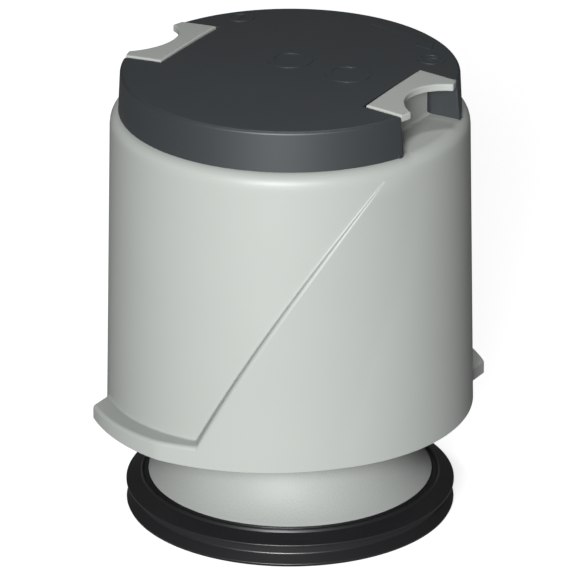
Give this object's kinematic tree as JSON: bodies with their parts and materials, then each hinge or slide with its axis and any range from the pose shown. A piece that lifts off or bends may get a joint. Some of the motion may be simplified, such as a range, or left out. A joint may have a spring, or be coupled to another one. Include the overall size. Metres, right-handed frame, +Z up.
{
  "type": "bell trap",
  "caption": "Bell trap for a floor drain: grey bell with finger grips and a dark cap, hung by a bayonet on a standpipe with a rubber lip seal.",
  "frame": {"origin": "on the trap's vertical axis, at the level of the seal's and spigot's lower faces", "axes": "+Z up along the axis, towards the cap; -Y is the front, the side that the picture shows; +X to the right in the picture"},
  "size_m": [0.1304, 0.1256, 0.1567],
  "materials": {
    "light_grey_plastic": "moulded, satin",
    "dark_grey_plastic": "moulded, satin",
    "black_rubber": "moulded, semi-matt"
  },
  "bodies": {
    "base": {"standpipe": "light_grey_plastic", "lip_seal": "black_rubber"},
    "cover": {"bell": "light_grey_plastic", "cap": "dark_grey_plastic"}
  },
  "joints": [
    {"name": "bell_turn", "type": "hinge", "parent": "base", "child": "cover", "pos_m": [0, 0, 0.0975], "axis": [0, 0, 1], "range_deg": [0, 45]}
  ]
}
